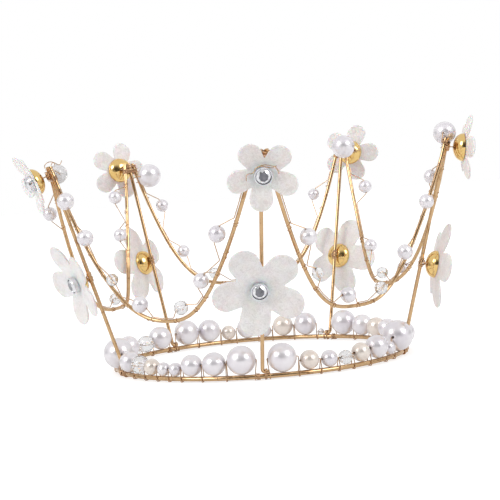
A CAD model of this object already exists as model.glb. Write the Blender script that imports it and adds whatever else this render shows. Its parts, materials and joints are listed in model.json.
"""Looks for the pearl and flower wire crown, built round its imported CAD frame."""

import json
import math
import random

import bpy
import numpy as np
from mathutils import Matrix, Vector


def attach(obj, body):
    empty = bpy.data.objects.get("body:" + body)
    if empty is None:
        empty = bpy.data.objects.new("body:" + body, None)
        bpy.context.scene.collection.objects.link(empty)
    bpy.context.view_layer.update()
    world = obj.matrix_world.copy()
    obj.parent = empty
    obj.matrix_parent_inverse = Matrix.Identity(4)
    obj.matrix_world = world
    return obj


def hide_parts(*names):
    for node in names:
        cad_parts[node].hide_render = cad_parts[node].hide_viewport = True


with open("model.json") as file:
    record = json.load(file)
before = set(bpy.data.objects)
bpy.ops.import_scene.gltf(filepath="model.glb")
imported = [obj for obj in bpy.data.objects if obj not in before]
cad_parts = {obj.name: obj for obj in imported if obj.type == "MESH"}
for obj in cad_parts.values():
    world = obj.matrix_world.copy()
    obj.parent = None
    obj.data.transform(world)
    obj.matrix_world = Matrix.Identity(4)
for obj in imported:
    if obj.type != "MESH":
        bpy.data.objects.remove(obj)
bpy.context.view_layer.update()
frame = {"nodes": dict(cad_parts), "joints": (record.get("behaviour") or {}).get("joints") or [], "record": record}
nodes = frame["nodes"]
joints = {j["name"]: j for j in frame["joints"]}
scene = bpy.context.scene
random.seed(7)
rng = np.random.default_rng(7)
MM = 0.001

# radii of the wires and of the holes in the beads, in metres
WIRE_R = 0.8 * MM
FINE_R = 0.2 * MM
WRAP_R = 0.14 * MM
STRAND_R = 0.16 * MM
RING_HOLE = 0.6 * MM
VINE_HOLE = 0.5 * MM
TIP_HOLE = 0.25 * MM
CREASE = math.radians(40)

# ---------------------------------------------------------------- materials


class Mat:
    """A node material with a principled shader and a few short helpers."""

    def __init__(self, name):
        self.m = bpy.data.materials.new(name)
        self.m.use_nodes = True
        self.t = self.m.node_tree
        self.b = self.t.nodes["Principled BSDF"]

    def set(self, **values):
        for key, value in values.items():
            self.b.inputs[key.replace("_", " ")].default_value = value
        return self

    def node(self, kind, **settings):
        n = self.t.nodes.new(kind)
        for key, value in settings.items():
            if key in n.inputs:
                n.inputs[key].default_value = value
            else:
                setattr(n, key, value)
        return n

    def link(self, a, out, b, inp):
        self.t.links.new(a.outputs[out], b.inputs[inp])

    def noise(self, scale, detail=3.0, rough=0.5, warp=0.0):
        """Noise that is fixed to the object."""
        n = self.node("ShaderNodeTexNoise", Scale=scale, Detail=detail, Roughness=rough,
                      Distortion=warp)
        self.link(self.node("ShaderNodeTexCoord"), "Object", n, "Vector")
        return n

    def ramp(self, src, out, stops):
        r = self.node("ShaderNodeValToRGB")
        e = r.color_ramp.elements
        while len(e) < len(stops):
            e.new(0.5)
        for el, (pos, col) in zip(e, stops):
            el.position = pos
            el.color = (*col, 1.0)
        self.link(src, out, r, "Fac")
        return r

    def bump(self, src, out, strength, distance):
        n = self.node("ShaderNodeBump", Strength=strength, Distance=distance)
        self.link(src, out, n, "Height")
        self.link(n, "Normal", self.b, "Normal")

    def tint(self, src, stops):
        """Colours the surface along a ramp, by the value of a noise."""
        self.link(self.ramp(src, "Fac", stops), "Color", self.b, "Base Color")


def gold(name, light, mid, dark, rough):
    """Plated wire: cloudy patches of lighter and darker gold, and an uneven polish."""
    m = Mat(name).set(Metallic=1.0)
    m.tint(m.noise(240.0, 5.0, warp=1.5), [(0.30, dark), (0.44, mid), (0.62, mid), (0.75, light)])
    fine = m.noise(1400.0)
    polish = m.ramp(fine, "Fac", [(0.3, (rough * 0.6,) * 3), (0.75, (rough * 1.5,) * 3)])
    m.link(polish, "Color", m.b, "Roughness")
    m.bump(fine, "Fac", 0.12, 0.00005)
    return m.m


def pearl(name, body, tint):
    """A half-metallic stand-in for nacre: cloudy colour, a soft reflection and a clear coat."""
    m = Mat(name).set(Metallic=0.5, Roughness=0.3, Coat_Weight=1.0, Coat_Roughness=0.2,
                      Coat_IOR=1.7)
    m.tint(m.noise(160.0), [(0.3, tint), (0.62, body)])
    m.bump(m.noise(1500.0), "Fac", 0.06, 0.00005)
    return m.m


def crystal(name, tint, rough):
    """Clear glass with a faint grain."""
    m = Mat(name).set(Roughness=rough, IOR=1.5, Transmission_Weight=1.0)
    n = m.noise(600.0, 2.0)
    m.tint(n, [(0.3, tint), (0.7, (1.0, 1.0, 1.0))])
    m.bump(n, "Fac", 0.1, 0.00004)
    return m.m


def frosted(name, body, vein, rough, through, scale, strength, width):
    """Moulded resin: cloudy mottling and thin wandering veins over a scattering body."""
    m = Mat(name).set(Roughness=rough, IOR=1.45, Transmission_Weight=through,
                      Subsurface_Weight=0.3, Subsurface_Scale=0.003)
    n = m.noise(scale, 4.0, 0.62, 1.6)
    r = m.ramp(n, "Fac", [(0.34, tuple(c * 0.93 for c in body)), (0.5 - width, body),
                          (0.5, vein), (0.5 + width, body), (0.64, tuple(c * 0.90 for c in body))])
    cloud = m.ramp(m.noise(scale * 0.35), "Fac", [(0.36, (0.93, 0.925, 0.92)), (0.62, (1.0, 1.0, 1.0))])
    mix = m.node("ShaderNodeMix", data_type="RGBA", blend_type="MULTIPLY")
    mix.inputs[0].default_value = 1.0
    m.t.links.new(r.outputs["Color"], mix.inputs[6])
    m.t.links.new(cloud.outputs["Color"], mix.inputs[7])
    m.t.links.new(mix.outputs[2], m.b.inputs["Base Color"])
    m.bump(r, "Color", strength, 0.0004)
    return m.m


def milky(name):
    """Cloudy glass: clear inside, softened and slightly white."""
    m = Mat(name).set(Roughness=0.22, IOR=1.45, Transmission_Weight=0.55, Coat_Weight=0.8,
                      Coat_Roughness=0.08)
    n = m.noise(260.0, 4.0)
    m.tint(n, [(0.3, (0.80, 0.79, 0.80)), (0.65, (0.93, 0.92, 0.93))])
    m.bump(n, "Fac", 0.15, 0.0001)
    return m.m


def silver_backed(name, low, high):
    """A metallic stand-in for a cut stone with a mirror back."""
    m = Mat(name).set(Metallic=0.9, Roughness=0.04, Coat_Weight=1.0, Coat_Roughness=0.01)
    n = m.noise(500.0, 2.0)
    m.tint(n, [(0.3, low), (0.7, high)])
    m.bump(n, "Fac", 0.05, 0.00004)
    return m.m


def silver(name):
    """Polished silver plating."""
    m = Mat(name).set(Metallic=1.0, Roughness=0.14)
    n = m.noise(800.0)
    m.tint(n, [(0.3, (0.62, 0.62, 0.65)), (0.7, (0.86, 0.86, 0.88))])
    m.bump(n, "Fac", 0.15, 0.00005)
    return m.m


M = {
    "gold_wire": gold("gold_wire", (0.80, 0.57, 0.33), (0.66, 0.44, 0.24), (0.40, 0.23, 0.11), 0.1),
    "fine_gold_wire": gold("fine_gold_wire", (0.76, 0.52, 0.32), (0.60, 0.39, 0.23),
                           (0.38, 0.24, 0.15), 0.2),
    "gold_cap": gold("gold_cap", (0.92, 0.67, 0.30), (0.86, 0.60, 0.24), (0.78, 0.52, 0.18), 0.1),
    "white_pearl": pearl("white_pearl", (0.86, 0.83, 0.86), (0.76, 0.72, 0.77)),
    "cream_pearl": pearl("cream_pearl", (0.88, 0.80, 0.73), (0.80, 0.70, 0.63)),
    "clear_bead": crystal("clear_bead", (0.93, 0.93, 0.95), 0.02),
    "milky_bead": milky("milky_bead"),
    "clear_stone": silver_backed("clear_stone", (0.72, 0.73, 0.76), (0.93, 0.93, 0.95)),
    "stone_table": silver_backed("stone_table", (0.10, 0.10, 0.12), (0.26, 0.26, 0.29)),
    "frosted_petal": frosted("frosted_petal", (0.84, 0.825, 0.82), (0.93, 0.92, 0.92), 0.5, 0.1,
                             620.0, 0.2, 0.04),
    "clear_petal": frosted("clear_petal", (0.88, 0.845, 0.835), (1.0, 0.99, 0.985), 0.36, 0.16,
                           380.0, 0.12, 0.03),
    "silver_cup": silver("silver_cup"),
}

for sub in frame["record"]["subparts"]:
    ob = nodes[sub["node"]]
    ob.data.materials.clear()
    ob.data.materials.append(M[sub["material_slot"]])
    ob.data.shade_smooth()
    ob.data.set_sharp_from_angle(angle=CREASE)

# ---------------------------------------------------------------- mesh helpers


def piece(name, verts, faces, material, body, replaced=(), smooth=True, slot=None):
    """A new mesh piece that rides on a body, and the CAD nodes that it stands for."""
    me = bpy.data.meshes.new(name)
    me.from_pydata([tuple(v) for v in verts], [], [tuple(f) for f in faces])
    me.update()
    me.validate()
    ob = bpy.data.objects.new(name, me)
    scene.collection.objects.link(ob)
    me.materials.append(M[material])
    if smooth:
        me.shade_smooth()
    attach(ob, body)
    if replaced:
        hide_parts(*replaced)
    return ob


def islands(node):
    """Vertex arrays and faces of the separate solids of one CAD node."""
    me = nodes[node].data
    co = np.empty(len(me.vertices) * 3)
    me.vertices.foreach_get("co", co)
    co = co.reshape(-1, 3)
    tri = np.empty(len(me.loops), dtype=np.int64)
    me.loops.foreach_get("vertex_index", tri)
    tri = tri.reshape(-1, 3)
    _, inverse = np.unique(np.round(co, 7), axis=0, return_inverse=True)
    tri = inverse.ravel()[tri]
    points = np.zeros((tri.max() + 1, 3))
    points[inverse.ravel()] = co
    label = np.arange(len(points))
    while True:
        low = label[tri].min(axis=1)
        new = label.copy()
        for k in range(3):
            np.minimum.at(new, tri[:, k], low)
        new = new[new]
        if (new == label).all():
            break
        label = new
    return [(points[label == i], points, tri[label[tri[:, 0]] == i]) for i in np.unique(label)]


def bead_places(node):
    """Centre, radius and hole direction of every bead of a node, in metres."""
    found = []
    for verts, points, tri in islands(node):
        centre = (verts.min(axis=0) + verts.max(axis=0)) / 2
        radius = np.linalg.norm(verts - centre, axis=1).max()
        a, b, c = points[tri[:, 0]], points[tri[:, 1]], points[tri[:, 2]]
        normal = np.cross(b - a, c - a)
        middle = (a + b + c) / 3 - centre
        inner = (normal * middle).sum(axis=1) <= np.linalg.norm(normal, axis=1) * radius * 0.2
        _, vec = np.linalg.eigh(normal[inner].T @ normal[inner])
        found.append((centre, radius, vec[:, 0]))
    return found


def basis(axis):
    """Two directions square to an axis, and the axis, as columns."""
    axis = axis / np.linalg.norm(axis)
    side = np.cross(axis, [0.0, 0.0, 1.0])
    if np.linalg.norm(side) < 0.1:
        side = np.cross(axis, [1.0, 0.0, 0.0])
    side = side / np.linalg.norm(side)
    return np.stack([side, np.cross(axis, side), axis], axis=1)


def revolve(profile, count):
    """Closed ring surface from (radius, height) points, turned about Z."""
    n = len(profile)
    a = np.linspace(0, 2 * math.pi, count, endpoint=False)
    r, z = np.array(profile).T
    v = np.stack([np.outer(np.cos(a), r), np.outer(np.sin(a), r), np.tile(z, (count, 1))], axis=2)
    f = []
    for i in range(count):
        j = (i + 1) % count
        for k in range(n):
            m = (k + 1) % n
            f.append((i * n + k, j * n + k, j * n + m, i * n + m))
    return v.reshape(-1, 3), f


def round_bead(r, hole):
    """A pearl: round body with a slightly eased lip at each end of its hole."""
    start = math.asin(min(0.9, (hole + 0.12 * MM) / r))
    angles = np.linspace(start, math.pi - start, 23)
    profile = [(r * math.sin(a), r * math.cos(a)) for a in angles]
    end = math.sqrt(r * r - hole * hole) - 0.18 * MM
    profile += [(hole, -end), (hole, 0.0), (hole, end)]
    v, f = revolve(profile, 40)
    return v, [tuple(reversed(x)) for x in f]


def cut_bead(r, hole):
    """A clear round bead with staggered flat facets."""
    rows = 9
    count = 12
    top = math.sqrt(r * r - hole * hole) * 0.97
    v, f = [], []
    for k in range(rows):
        t = math.pi * (0.11 + 0.78 * k / (rows - 1))
        for i in range(count):
            a = 2 * math.pi * (i + 0.5 * (k % 2)) / count
            v.append((r * math.sin(t) * math.cos(a), r * math.sin(t) * math.sin(a), r * math.cos(t)))
    for k in range(rows - 1):
        for i in range(count):
            j = (i + 1) % count
            a, b = k * count + i, k * count + j
            c, d = (k + 1) * count + i, (k + 1) * count + j
            f += [(a, c, b), (b, c, d)] if k % 2 == 0 else [(a, c, d), (a, d, b)]
    base = len(v)
    for z in (top, -top):
        for i in range(count):
            a = 2 * math.pi * i / count
            v.append((hole * math.cos(a), hole * math.sin(a), z))
    last = (rows - 1) * count
    for i in range(count):
        j = (i + 1) % count
        f.append((i, j, base + j, base + i))
        f.append((last + j, last + i, base + count + i, base + count + j))
        f.append((base + i, base + j, base + count + j, base + count + i))
    return np.array(v), f


def joined(parts):
    """Several meshes, each with its points and faces, as one."""
    verts, faces, at = [], [], 0
    for v, f in parts:
        verts.append(v)
        faces += [tuple(i + at for i in x) for x in f]
        at += len(v)
    return np.concatenate(verts), faces


def beads(node, material, hole, body="crown_frame", cut=False, slot=None):
    """Finished beads, each in the place of one bead of the CAD node."""
    parts = []
    for centre, r, axis in bead_places(node):
        v, f = (cut_bead if cut else round_bead)(r, hole)
        spin = rng.uniform(0, 2 * math.pi)
        turn = np.array(Matrix.Rotation(spin, 3, "Z"))
        parts.append((v @ turn.T @ basis(axis).T + centre, f))
    return piece(node + "_finished", *joined(parts), material, body, [node], smooth=not cut,
                 slot=slot)


def finish_beads(n):
    """Replaces a node that holds beads, and leaves any other alone."""
    if n.startswith("ring_pearls"):
        beads(n, "cream_pearl" if "cream" in n else "white_pearl", RING_HOLE)
    elif n.startswith("vine_pearls"):
        beads(n, "white_pearl", VINE_HOLE)
    elif n == "ring_crystals":
        beads(n, "clear_bead", RING_HOLE, cut=True)
    elif n == "vine_crystals":
        beads(n, "clear_bead", VINE_HOLE, cut=True)
    elif n == "tip_pearl_left":
        beads(n, "milky_bead", TIP_HOLE, n + "_bead", slot="clear_bead")
    elif n.startswith("tip_pearl_") and n != "tip_pearl_wires":
        beads(n, "white_pearl", TIP_HOLE, n + "_bead")


for n in nodes:
    finish_beads(n)

# ---------------------------------------------------------------- flowers

STEM_NAMES = ("front", "right", "back_right", "back_left", "left")
CLOCKS = {
    "lower": dict(zip(STEM_NAMES, (115.0, 110.0, 113.0, 82.0, 108.0))),
    "tip": dict(zip(STEM_NAMES, (119.0, 108.0, 111.0, 107.0, 118.0))),
}
# lengths of the flowers are in millimetres
# outer radius, round end radius, notch radius, dish radius
PETALS = {"lower": (19.3, 6.3, 9.7, 75.0), "tip": (14.4, 4.7, 6.4, 48.0)}
EDGE = {"lower": 0.55, "tip": 0.7}
PETAL_T = 1.0
BORE = 1.35
PER_PETAL = 36
FLAT_ROWS = 15
EDGE_ROWS = 7
UNEVEN = 0.012
FIFTH = 2 * math.pi / 5
STONE_SIDES = 8
STONE_OUT = 1.76
TABLE_R = 1.88
TABLE_MID_Z = 1.635
TABLE_EDGE_Z = 1.625


def petal_reach(theta, outer, end_r, notch):
    """Distance from the middle to the outline in a direction, for one petal centred on 0."""
    c = outer - end_r
    half = math.pi / 5
    theta = abs(theta)
    if theta < math.atan2(end_r, c):
        return c * math.cos(theta) + math.sqrt(max(0.0, end_r ** 2 - (c * math.sin(theta)) ** 2))
    ax, ay = notch * math.cos(half), notch * math.sin(half)
    dx, dy = c - ax, end_r - ay
    return (ax * dy - ay * dx) / (math.cos(theta) * dy - math.sin(theta) * dx)


def petal_outline(kind, angles, local):
    """Distance from the middle to the rim at each angle, a little different for each petal."""
    outer, end_r, notch, _ = PETALS[kind]
    reach = np.array([petal_reach(t, outer, end_r, notch) for t in local])
    reach = (np.roll(reach, 1) + 2 * reach + np.roll(reach, -1)) / 4
    petal = ((angles + FIFTH / 2) // FIFTH).astype(int) % 5
    wobble = np.array([random.uniform(-UNEVEN, 0.0) for _ in range(5)])
    return reach * (1 + wobble[petal] * np.cos(local * 2.5))


def petal_heights(kind, rad, th, angle):
    """Heights of the top and the bottom at a radius, and an angle from the petal's middle line."""
    outer, _, _, dish = PETALS[kind]
    grow = min(1.0, max(0.0, (rad - 3.0) / 5.0))
    off = rad * math.sin(angle)
    along = rad * math.cos(angle)
    valley = math.exp(-(((FIFTH / 2 - abs(angle)) * rad) / 1.3) ** 2)
    vein = math.exp(-(off / 0.7) ** 2) * math.exp(-((along - outer * 0.5) / (outer * 0.22)) ** 2)
    lift = rad * rad / (2 * dish)
    crown = 0.10 - 0.20 * valley * grow - 0.10 * vein
    half_t = PETAL_T / 2 * th * (0.86 + 0.10 * grow)
    return lift + half_t + (crown - 0.1) * th, lift - half_t + (0.1 * valley * grow) * th


def petal_disc(kind):
    """Five soft-edged petals in one dished disc. Z is the flower's outward direction."""
    count = 5 * PER_PETAL
    angles = np.arange(count) * 2 * math.pi / count
    local = (angles + FIFTH / 2) % FIFTH - FIFTH / 2
    reach = petal_outline(kind, angles, local)
    edge = EDGE[kind]
    round_rows = np.sin(np.linspace(0, math.pi / 2, EDGE_ROWS))[1:]
    thick = [1.0] * FLAT_ROWS + [math.sqrt(max(0.0, 1 - s * s)) for s in round_rows]
    top, bottom = [], []
    for i in range(count):
        end = reach[i]
        radii = list(BORE + (end - edge - BORE) * np.linspace(0, 1, FLAT_ROWS))
        radii += [end - edge + edge * s for s in round_rows]
        for rad, th in zip(radii, thick):
            high, low = petal_heights(kind, rad, th, local[i])
            x, y = rad * math.cos(angles[i]), rad * math.sin(angles[i])
            top.append((x, y, high))
            bottom.append((x, y, low))
    n = len(thick)
    under = count * n
    f = []
    for i in range(count):
        j = (i + 1) % count
        for k in range(n - 1):
            a, b, c, d = i * n + k, j * n + k, j * n + k + 1, i * n + k + 1
            f.append((d, c, b, a))
            f.append((under + a, under + b, under + c, under + d))
        a, b = i * n, j * n
        f.append((a, b, b + under, a + under))
        a, b = i * n + n - 1, j * n + n - 1
        f.append((b, a, a + under, b + under))
    return np.array(top + bottom) * MM, [tuple(reversed(x)) for x in f]


def head_frame(joint):
    """Middle of the petals and the right, up and outward directions of a flower."""
    axis = np.array(joint["axis"], float)
    axis /= np.linalg.norm(axis)
    right = np.cross([0.0, 0.0, 1.0], axis)
    right /= np.linalg.norm(right)
    return np.array(joint["pos_m"], float), np.stack([right, np.cross(axis, right), axis], axis=1)


def spun(v, degrees):
    """Points turned about Z."""
    return v @ np.array(Matrix.Rotation(math.radians(degrees), 3, "Z")).T


def stone_table():
    """A thin cover a hair above the flat top of the stone, darker than the bright facets."""
    v, f = [(0.0, 0.0, TABLE_MID_Z)], []
    for i in range(STONE_SIDES):
        a = 2 * math.pi * i / STONE_SIDES
        v.append((TABLE_R * math.cos(a), TABLE_R * math.sin(a), TABLE_EDGE_Z))
        f.append((0, i + 1, (i + 1) % STONE_SIDES + 1))
    return np.array(v) * MM, f


def brilliant():
    """A round stone with table, crown facets, girdle and a shallow pavilion."""
    # radius, height, corners, and how far the corners are shifted
    rows = [(TABLE_R, 1.62, 8, 0.0), (2.6, 1.15, 8, 0.5), (3.08, 0.55, 16, 0.0), (3.08, 0.4, 16, 0.0),
            (1.4, 0.12, 8, 0.0)]
    v, idx = [], []
    for r, z, count, shift in rows:
        idx.append(list(range(len(v), len(v) + count)))
        for i in range(count):
            a = 2 * math.pi * (i + shift) / count
            v.append((r * math.cos(a), r * math.sin(a), z))
    f = [tuple(idx[0])]
    for i in range(8):
        j = (i + 1) % 8
        f.append((idx[0][i], idx[1][i], idx[0][j]))
        f.append((idx[0][i], idx[1][i - 1], idx[1][i]))
        g = 2 * i
        f.append((idx[1][i], idx[2][g], idx[2][g + 1]))
        f.append((idx[1][i], idx[2][g + 1], idx[2][(g + 2) % 16]))
        f.append((idx[1][i - 1], idx[2][g], idx[1][i]))
        f.append((idx[4][i], idx[3][g + 1], idx[3][g]))
        f.append((idx[4][i], idx[3][(g + 2) % 16], idx[3][g + 1]))
        f.append((idx[4][i], idx[4][j], idx[3][(g + 2) % 16]))
    for i in range(16):
        j = (i + 1) % 16
        f.append((idx[2][i], idx[3][i], idx[3][j], idx[2][j]))
    f.append(tuple(reversed(idx[4])))
    return np.array(v) * MM, f


def flower_group(kind):
    """The five petal discs of a kind, and its stones and their tables."""
    stones, tables = [], []
    petal_look = {"lower": "frosted_petal", "tip": "clear_petal"}[kind]
    for name in STEM_NAMES:
        joint = joints[kind + "_flower_" + name + "_turn"]
        middle, axes = head_frame(joint)
        v, f = petal_disc(kind)
        v = spun(v, CLOCKS[kind][name]) @ axes.T + middle
        node = kind + "_petals_" + name
        piece(node + "_finished", v, f, petal_look, joint["child"], [node])
        clock = random.uniform(0, 45)
        for shape, group in ((stone_table, tables), (brilliant, stones)):
            v, f = shape()
            v = spun(v, clock) + np.array([0, 0, STONE_OUT * MM])
            group.append((v @ axes.T + middle, f))
    node = kind + "_rhinestones"
    piece(node + "_finished", *joined(stones), "clear_stone", "crown_frame", [node], smooth=False)
    piece(node + "_tables", *joined(tables), "stone_table", "crown_frame", [node], smooth=False,
          slot="clear_stone")


for kind in ("lower", "tip"):
    flower_group(kind)

# ---------------------------------------------------------------- wire wraps and windings


def smooth_path(points, per=6):
    """A Catmull-Rom curve through the points."""
    p = np.array(points, float)
    p = np.concatenate([[2 * p[0] - p[1]], p, [2 * p[-1] - p[-2]]])
    out = []
    for i in range(1, len(p) - 2):
        for t in np.linspace(0, 1, per, endpoint=False):
            a, b, c, d = p[i - 1:i + 3]
            out.append(0.5 * (2 * b + (c - a) * t + (2 * a - 5 * b + 4 * c - d) * t ** 2
                              + (3 * b - a - 3 * c + d) * t ** 3))
    return np.array(out + [p[-2]])


def tube(path, radius, sides=8):
    """Closed round tube along a path."""
    tangent = np.gradient(path, axis=0)
    tangent /= np.linalg.norm(tangent, axis=1)[:, None]
    side = basis(tangent[0])[:, 0]
    v = []
    for at, t in zip(path, tangent):
        side = side - t * (side @ t)
        side /= np.linalg.norm(side)
        other = np.cross(t, side)
        for k in range(sides):
            a = 2 * math.pi * k / sides
            v.append(at + radius * (math.cos(a) * side + math.sin(a) * other))
    f = []
    for i in range(len(path) - 1):
        for k in range(sides):
            m = (k + 1) % sides
            a, b = i * sides, (i + 1) * sides
            f.append((a + k, a + m, b + m, b + k))
    f.append(tuple(reversed(range(sides))))
    f.append(tuple(range((len(path) - 1) * sides, len(path) * sides)))
    return np.array(v), f


def wires(name, paths, radius):
    """One piece of fine gold wire, of one or more strands."""
    piece(name, *joined([tube(path, radius) for path in paths]), "fine_gold_wire", "crown_frame")


def mesh_edges(node):
    """End points of the triangle edges of a CAD node."""
    me = nodes[node].data
    co = np.empty(len(me.vertices) * 3)
    me.vertices.foreach_get("co", co)
    co = co.reshape(-1, 3)
    e = np.empty(len(me.edges) * 2, dtype=np.int64)
    me.edges.foreach_get("vertices", e)
    e = e.reshape(-1, 2)
    return co[e[:, 0]], co[e[:, 1]]


def section_centre(edges, where, normal, reach):
    """Middle of the wire's round section in a plane, near a point, or None."""
    a, b = edges
    da, db = (a - where) @ normal, (b - where) @ normal
    hit = da * db < 0
    t = (da[hit] / (da[hit] - db[hit]))[:, None]
    p = a[hit] + (b[hit] - a[hit]) * t
    p = p[np.linalg.norm(p - where, axis=1) < reach]
    if len(p) < 5:
        return None
    q = (p - where) @ basis(normal)
    mid = (q.min(axis=0) + q.max(axis=0)) / 2
    return where + basis(normal) @ mid


def wrap(edges, where, normal, reach, length, radius, turns):
    """A short helix round a wire near a point."""
    c1 = section_centre(edges, where - normal * length / 2, normal, reach)
    c2 = section_centre(edges, where + normal * length / 2, normal, reach)
    if c1 is None or c2 is None or np.linalg.norm(c2 - c1) > 3 * length:
        return None
    along = c2 - c1
    size = np.linalg.norm(along)
    axes = basis(along / size)
    steps = int(turns * 12)
    start = rng.uniform(0, 2 * math.pi)
    path = []
    for i in range(steps + 1):
        a = start + 2 * math.pi * turns * i / steps
        off = radius * (1 + 0.05 * math.sin(2.3 * a))
        path.append(c1 + along * i / steps + axes[:, 0] * off * math.cos(a)
                    + axes[:, 1] * off * math.sin(a))
    return np.array(path)


BAYS = ("front_right", "right", "back", "left", "front_left")
WRAP_CLEAR = 0.15 * MM
CAP_DEPTH = 6.3 * MM


def vine_wraps(bay):
    """Where the vine wire winds round the swag, on either side of each bead."""
    edges = mesh_edges("swag_" + bay)
    paths = []
    for node in ("vine_pearls_" + bay, "vine_crystals"):
        for centre, r, axis in bead_places(node):
            for sign in (-1, 1):
                where = centre + axis * sign * (r + rng.uniform(2.6, 3.6) * MM)
                path = wrap(edges, where, axis, 6.5 * MM, rng.uniform(1.6, 3.4) * MM,
                            WIRE_R + WRAP_CLEAR, rng.choice([1.3, 1.8]))
                if path is not None:
                    paths.append(path)
    wires("vine_wraps_" + bay, paths, WRAP_R)


def stem_top(name):
    """Middle of a stem's cut end and the direction up the stem."""
    edges = mesh_edges("stem_" + name)
    top = edges[0][edges[0][:, 2].argmax()]
    up = np.array([0.0, 0.0, 1.0])
    points = [section_centre(edges, top - up * d * MM, up, 8 * MM) for d in (3.0, 18.0)]
    along = (points[0] - points[1]) / np.linalg.norm(points[0] - points[1])
    return points[0] + along * 2.9 * MM, along


def winding(start, end, turns, r1, r2, shift):
    """Uneven loops of fine wire round the line from start to end."""
    along = end - start
    axes = basis(along)
    path = []
    steps = int(turns * 6)
    for i in range(steps + 1):
        t = i / steps
        a = 2 * math.pi * turns * t + shift
        off = (r1 + (r2 - r1) * t) * rng.uniform(0.82, 1.15)
        path.append(start + along * (t + rng.uniform(-0.03, 0.03))
                    + axes[:, 0] * off * math.cos(a) + axes[:, 1] * off * math.sin(a))
    return smooth_path(path, 5)


def flower_axes(kind, name):
    """A flower's middle, its directions, and the crown of its back cap."""
    middle, axes = head_frame(joints[kind + "_flower_" + name + "_turn"])
    return middle, axes, middle - axes[:, 2] * CAP_DEPTH


def tip_winding(name, tip, up):
    """Wire round the tie of the tip flower, and loose turns over the tip binding."""
    _, axes, apex = flower_axes("tip", name)
    foot = tip - up * float((tip - apex) @ up)
    near = foot + (apex - foot) * 0.1
    paths = [winding(near, apex, 3.5, 1.5 * MM, 1.9 * MM, 2.1 * k) for k in range(2)]
    across = np.cross(up, axes[:, 2])
    across /= np.linalg.norm(across)
    outward = np.cross(across, up)
    for k in range(3):
        low = 1.2 + 1.1 * k + rng.uniform(-0.2, 0.2)
        loop = []
        for i in range(13):
            a = 2 * math.pi * i / 12 + 0.5 * k
            lift = (rng.uniform(-0.35, 0.35) + 0.25 * i / 12) * MM
            loop.append(tip - up * (low * MM - lift) + across * 3.5 * MM * math.cos(a)
                        + outward * 1.45 * MM * math.sin(a))
        paths.append(smooth_path(loop, 4))
    wires("tip_winding_" + name, paths, FINE_R)


def lower_winding(name, up):
    """Wire round the tie of the lower flower and round the stem behind it."""
    _, axes, apex = flower_axes("lower", name)
    edges = mesh_edges("stem_" + name)
    at = section_centre(edges, apex - axes[:, 2] * 1.5 * MM, up, 12 * MM)
    if at is None:
        return
    paths = [winding(at + (apex - at) * 0.25, apex, 2.5, 1.1 * MM, 1.5 * MM, 0.4)]
    for k in (-1, 1):
        path = wrap(edges, at + up * 1.6 * k * MM, up, 12 * MM, 1.2 * MM,
                    WIRE_R + FINE_R + 0.03 * MM, 2.3)
        if path is not None:
            paths.append(path)
    wires("lower_winding_" + name, paths, FINE_R)


def front_strand():
    """Two loose strands round the front tip flower's stone, as right, up and outward in mm."""
    middle, axes, _ = flower_axes("tip", "front")
    strand = [(-6.6, -1.4, 2.2), (-6.3, 1.2, 2.6), (-3.9, 1.8, 2.7), (-2.6, 3.7, 2.6),
              (0.4, 4.6, 2.5), (2.6, 4.2, 2.6), (4.6, 3.6, 2.7), (5.6, 2.0, 2.6), (6.0, 0.6, 2.2)]
    over = [(-3.2, 3.2, 2.3), (-1.0, 4.3, 2.8), (1.6, 3.7, 2.9), (3.6, 3.4, 2.8), (5.2, 3.9, 2.4)]
    paths = [smooth_path([middle + axes @ (np.array(q) * MM) for q in line])
             for line in (strand, over)]
    wires("tip_strand_front", paths, STRAND_R)


def left_loops():
    """Two loose loops above the left tip."""
    tip, up = stem_top("left")
    edge = np.cross(up, [0.0, 1.0, 0.0])
    edge /= np.linalg.norm(edge)
    loop = [tip + up * (1.3 * math.sin(a) + 0.6) * MM + edge * (1.6 * math.cos(a) - 0.4 * a) * MM
            for a in np.linspace(-0.6, 3.9, 10)]
    more = [tip + up * (0.9 * math.sin(2 * a) + 0.2) * MM + edge * (-1.2 - 1.5 * a) * MM
            for a in np.linspace(0.0, 3.4, 12)]
    wires("tip_loops_left", [smooth_path(loop), smooth_path(more)], STRAND_R)


for bay in BAYS:
    vine_wraps(bay)
for name in STEM_NAMES:
    top, along_stem = stem_top(name)
    tip_winding(name, top, along_stem)
    lower_winding(name, along_stem)
front_strand()
left_loops()

# ---------------------------------------------------------------- stage, light, camera

FLOOR_HALF = 4
FLOOR_GREY = 0.62
FLOOR_GLOW = (0.3, 0.55)


def make_floor():
    """A plain pale floor that glows a little: more to the camera than to the other rays."""
    h = FLOOR_HALF
    me = bpy.data.meshes.new("floor")
    me.from_pydata([(-h, -h, 0), (h, -h, 0), (h, h, 0), (-h, h, 0)], [], [(0, 1, 2, 3)])
    floor = bpy.data.objects.new("floor", me)
    scene.collection.objects.link(floor)
    grey = (FLOOR_GREY, FLOOR_GREY, FLOOR_GREY, 1.0)
    m = Mat("floor").set(Roughness=0.9, Base_Color=grey, Specular_IOR_Level=0.0,
                         Emission_Color=(1.0, 1.0, 1.0, 1.0))
    glow = m.node("ShaderNodeMapRange")
    m.link(m.node("ShaderNodeLightPath"), "Is Camera Ray", glow, "Value")
    glow.inputs["To Min"].default_value = FLOOR_GLOW[0]
    glow.inputs["To Max"].default_value = FLOOR_GLOW[1]
    m.link(glow, "Result", m.b, "Emission Strength")
    me.materials.append(m.m)


make_floor()

world = bpy.data.worlds.new("studio")
scene.world = world
world.use_nodes = True
wt = world.node_tree
wt.nodes.clear()


def wnode(kind, **settings):
    """A node of the world."""
    n = wt.nodes.new(kind)
    for key, value in settings.items():
        setattr(n, key, value)
    return n


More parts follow.
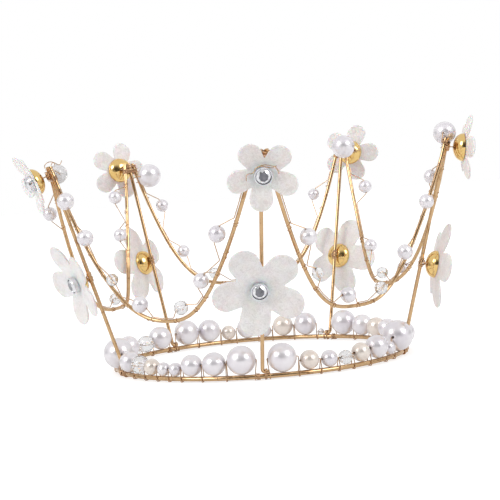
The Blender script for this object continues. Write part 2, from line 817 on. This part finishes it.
def patch(direction, inner, outer):
    """1 inside a round patch of the sky towards a direction, falling to 0 outside."""
    dot = wnode("ShaderNodeVectorMath", operation="DOT_PRODUCT")
    wt.links.new(sky_dir.outputs["Generated"], dot.inputs[0])
    dot.inputs[1].default_value = Vector(direction).normalized()
    r = wnode("ShaderNodeMapRange", interpolation_type="SMOOTHSTEP")
    wt.links.new(dot.outputs["Value"], r.inputs["Value"])
    r.inputs["From Min"].default_value = math.cos(math.radians(outer))
    r.inputs["From Max"].default_value = math.cos(math.radians(inner))
    return r.outputs["Result"]


def math_node(op, a, b):
    """The output of a math node on two numbers or outputs."""
    n = wnode("ShaderNodeMath", operation=op)
    for i, x in enumerate((a, b)):
        if isinstance(x, (int, float)):
            n.inputs[i].default_value = x
        else:
            wt.links.new(x, n.inputs[i])
    return n.outputs["Value"]


# a pale room with a softbox at each upper front side, and darker in front and at both flanks
SKY = 0.84
SKY_TO_CAMERA = 1.0
LEFT_BOX, RIGHT_BOX = 5.0, 4.2
FRONT_DARK, FLANK_DARK = -0.76, -0.55

sky_dir = wnode("ShaderNodeTexCoord")
left = patch((-0.66, -0.52, 0.54), 11, 17)
right = patch((0.66, -0.52, 0.54), 11, 17)
front = patch((0.0, -1.0, 0.06), 16, 52)
flanks = math_node("ADD", patch((0.90, 0.36, -0.25), 16, 36), patch((-0.90, 0.36, -0.25), 16, 36))
value = math_node("ADD", math_node("MULTIPLY", front, FRONT_DARK), SKY)
value = math_node("ADD", value, math_node("MULTIPLY", flanks, FLANK_DARK))
value = math_node("ADD", value, math_node("MULTIPLY", left, LEFT_BOX))
value = math_node("ADD", value, math_node("MULTIPLY", right, RIGHT_BOX))

# the camera sees a plain white backdrop in place of the room
mixed = wnode("ShaderNodeMix", data_type="FLOAT")
wt.links.new(wnode("ShaderNodeLightPath").outputs["Is Camera Ray"], mixed.inputs[0])
wt.links.new(value, mixed.inputs[2])
mixed.inputs[3].default_value = SKY_TO_CAMERA
bg = wnode("ShaderNodeBackground")
wt.links.new(mixed.outputs[0], bg.inputs["Strength"])
bg.inputs["Color"].default_value = (1.0, 1.0, 1.0, 1.0)
wo = wnode("ShaderNodeOutputWorld")
wt.links.new(bg.outputs["Background"], wo.inputs["Surface"])

# the camera stands in front, a little above the rim, slightly rolled
DISTANCE, ELEVATION = 0.6436, math.radians(7.527)
YAW, PITCH, ROLL = math.radians(-0.148), math.radians(3.114), math.radians(-4.166)
SENSOR, LENS = 36.0, 102.1
CLIP = (0.01, 50.0)
forward = Vector((math.sin(YAW) * math.cos(PITCH), math.cos(YAW) * math.cos(PITCH),
                  -math.sin(PITCH)))
across = Vector((math.cos(YAW), -math.sin(YAW), 0.0))
upward = across.cross(forward)
cam_x = across * math.cos(ROLL) + upward * math.sin(ROLL)
cam_y = upward * math.cos(ROLL) - across * math.sin(ROLL)
camera = bpy.data.objects.new("camera", bpy.data.cameras.new("camera"))
scene.collection.objects.link(camera)
turn = Matrix((cam_x, cam_y, -forward)).transposed().to_4x4()
place = Matrix.Translation((0.0, -DISTANCE * math.cos(ELEVATION), DISTANCE * math.sin(ELEVATION)))
camera.matrix_world = place @ turn
camera.data.sensor_width = SENSOR
camera.data.lens = LENS
camera.data.clip_start, camera.data.clip_end = CLIP
scene.camera = camera
scene.view_settings.view_transform = "Standard"
